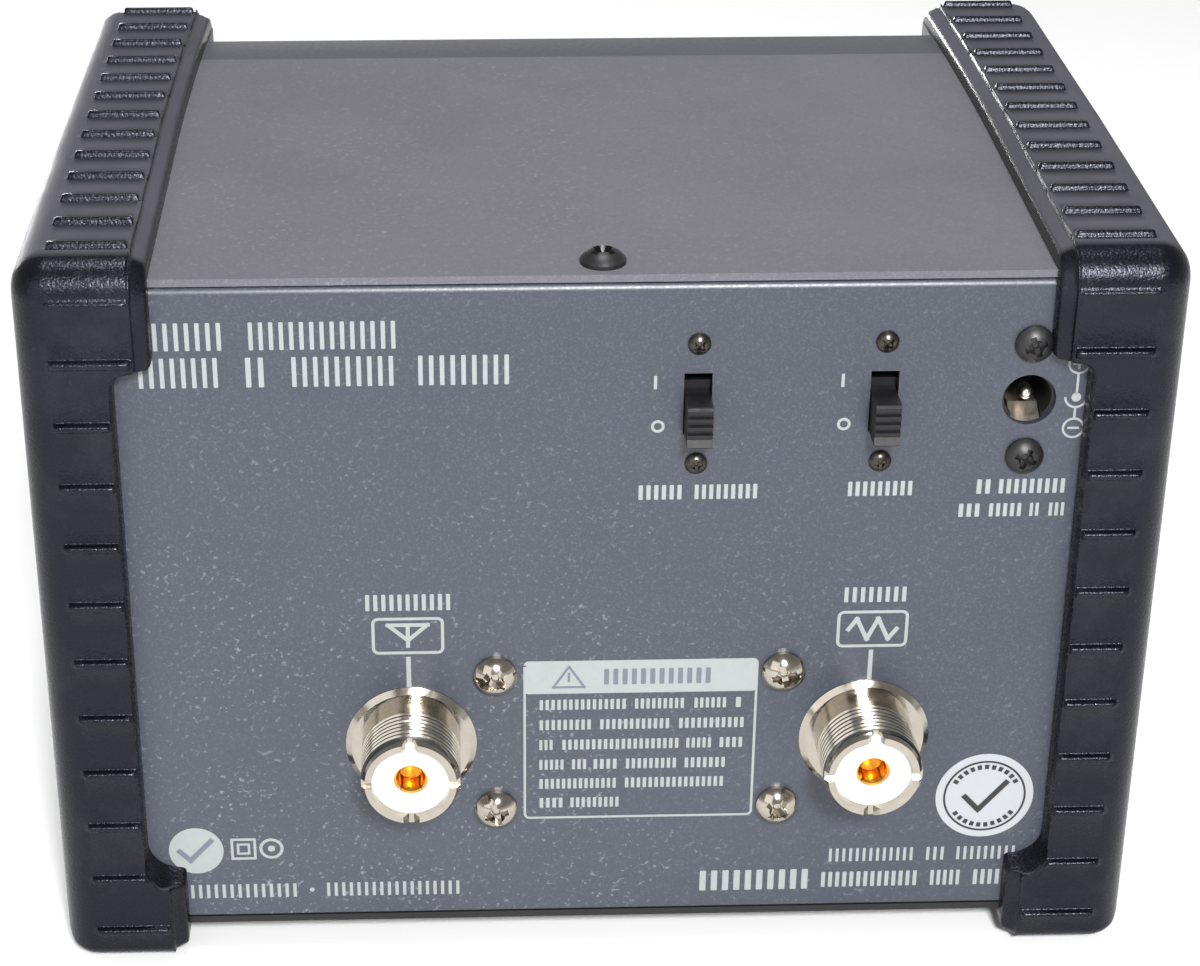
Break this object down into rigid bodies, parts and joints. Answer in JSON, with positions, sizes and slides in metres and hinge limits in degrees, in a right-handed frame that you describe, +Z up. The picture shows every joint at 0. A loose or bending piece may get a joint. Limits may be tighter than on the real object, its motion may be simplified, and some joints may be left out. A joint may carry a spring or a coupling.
{
  "type": "swr meter",
  "caption": "Bench power and standing-wave meter: cross-needle dial in front, two coaxial sockets, slide switches and supply inlet behind, rubber bumpers on both ends.",
  "frame": {"origin": "middle of the footprint, on the surface that it stands on", "axes": "+Z up, -Y out of the dial, +Y out of the rear panel with the sockets, +X to the right of someone who reads the dial"},
  "size_m": [0.178, 0.1504, 0.126],
  "materials": {
    "case_paint": "satin, fine speckle",
    "cover_paint": "satin, fine grain",
    "bottom_paint": "satin",
    "bezel_plastic": "satin",
    "bumper_rubber": "satin",
    "black_steel": "satin",
    "dark_steel": "satin",
    "nickel": "polished",
    "white_polymer": "satin",
    "gold_contact": "polished",
    "die_cast": "cast",
    "copper": "polished",
    "silver_wire": "polished",
    "ferrite": "matte",
    "board_green": "gloss",
    "trimmer": "gloss",
    "switch_black": "matte",
    "slider_black": "satin",
    "jack_black": "matte",
    "spring_metal": "satin",
    "sticker_white": "matte",
    "meter_black": "matte",
    "clear_window": "clear",
    "mask_black": "gloss",
    "dial_card": "matte",
    "needle_black": "matte",
    "magnet_grey": "satin",
    "yoke_iron": "satin",
    "lamp": "gloss",
    "knob_black": "satin",
    "plated_steel": "satin",
    "switch_grey": "satin",
    "switch_ivory": "satin",
    "standoff_brass": "satin",
    "components": "gloss",
    "lead_red": "satin"
  },
  "bodies": {
    "meter": {"top_cover": "cover_paint", "rear_panel": "case_paint", "bottom_plate": "bottom_paint", "front_bezel": "bezel_plastic", "left_bumper": "bumper_rubber", "right_bumper": "bumper_rubber", "cover_rear_screw": "black_steel", "bottom_screws": "black_steel", "side_screws": "black_steel", "output_socket_shell": "nickel", "output_socket_insulator": "white_polymer", "output_socket_contact": "gold_contact", "input_socket_shell": "nickel", "input_socket_insulator": "white_polymer", "input_socket_contact": "gold_contact", "coupler_housing": "die_cast", "coupler_cover": "die_cast", "coupler_screws": "nickel", "coupler_cover_screws": "plated_steel", "through_line": "silver_wire", "toroid_core": "ferrite", "toroid_winding": "copper", "coupler_board": "board_green", "coupler_trimmers": "trimmer", "hold_switch_body": "switch_black", "light_switch_body": "switch_black", "slide_switch_screws": "dark_steel", "dc_jack_body": "jack_black", "dc_jack_pin": "plated_steel", "dc_jack_spring": "spring_metal", "dc_jack_screws": "black_steel", "inspection_sticker": "sticker_white", "meter_case": "meter_black", "meter_window": "clear_window", "meter_mask": "mask_black", "scale_plate": "dial_card", "forward_magnet": "magnet_grey", "forward_yoke": "yoke_iron", "reflected_magnet": "magnet_grey", "reflected_yoke": "yoke_iron", "meter_lamps": "lamp", "range_switch_body": "switch_grey", "range_nut": "plated_steel", "mode_switch_body": "switch_ivory", "control_board": "board_green", "main_board": "board_green", "board_standoffs": "standoff_brass", "board_components": "components", "signal_leads": "lead_red"},
    "hold_slider": {"hold_slider": "slider_black"},
    "light_slider": {"light_slider": "slider_black"},
    "range_knob": {"range_knob": "knob_black", "range_shaft": "plated_steel"},
    "mode_button": {"mode_button": "knob_black"},
    "forward_pointer": {"forward_needle": "needle_black", "forward_coil": "copper"},
    "reflected_pointer": {"reflected_needle": "needle_black", "reflected_coil": "copper"},
    "forward_zero_screw": {"forward_zero_screw": "mask_black"},
    "reflected_zero_screw": {"reflected_zero_screw": "mask_black"}
  },
  "joints": [
    {"name": "hold_switch", "type": "slide", "parent": "meter", "child": "hold_slider", "axis": [0, 0, 1], "range_m": [0, 0.0033]},
    {"name": "light_switch", "type": "slide", "parent": "meter", "child": "light_slider", "axis": [0, 0, 1], "range_m": [0, 0.0033]},
    {"name": "range_turn", "type": "hinge", "parent": "meter", "child": "range_knob", "pos_m": [0.045, -0.0622, 0.024], "axis": [0, 1, 0], "range_deg": [-30, 30]},
    {"name": "mode_press", "type": "slide", "parent": "meter", "child": "mode_button", "axis": [0, 1, 0], "range_m": [0, 0.0025], "stiffness_N_per_m": 300, "springref_m": -0.001},
    {"name": "forward_swing", "type": "hinge", "parent": "meter", "child": "forward_pointer", "pos_m": [0.028, -0.0562, 0.045], "axis": [0, 1, 0], "range_deg": [0, 47], "stiffness_Nm_per_rad": 0.0001},
    {"name": "reflected_swing", "type": "hinge", "parent": "meter", "child": "reflected_pointer", "pos_m": [-0.028, -0.0542, 0.045], "axis": [0, -1, 0], "range_deg": [0, 47], "stiffness_Nm_per_rad": 0.0001},
    {"name": "forward_zero", "type": "hinge", "parent": "meter", "child": "forward_zero_screw", "pos_m": [0.028, -0.0622, 0.0425], "axis": [0, 1, 0], "range_deg": [-45, 45]},
    {"name": "reflected_zero", "type": "hinge", "parent": "meter", "child": "reflected_zero_screw", "pos_m": [-0.028, -0.0622, 0.0425], "axis": [0, 1, 0], "range_deg": [-45, 45]}
  ]
}
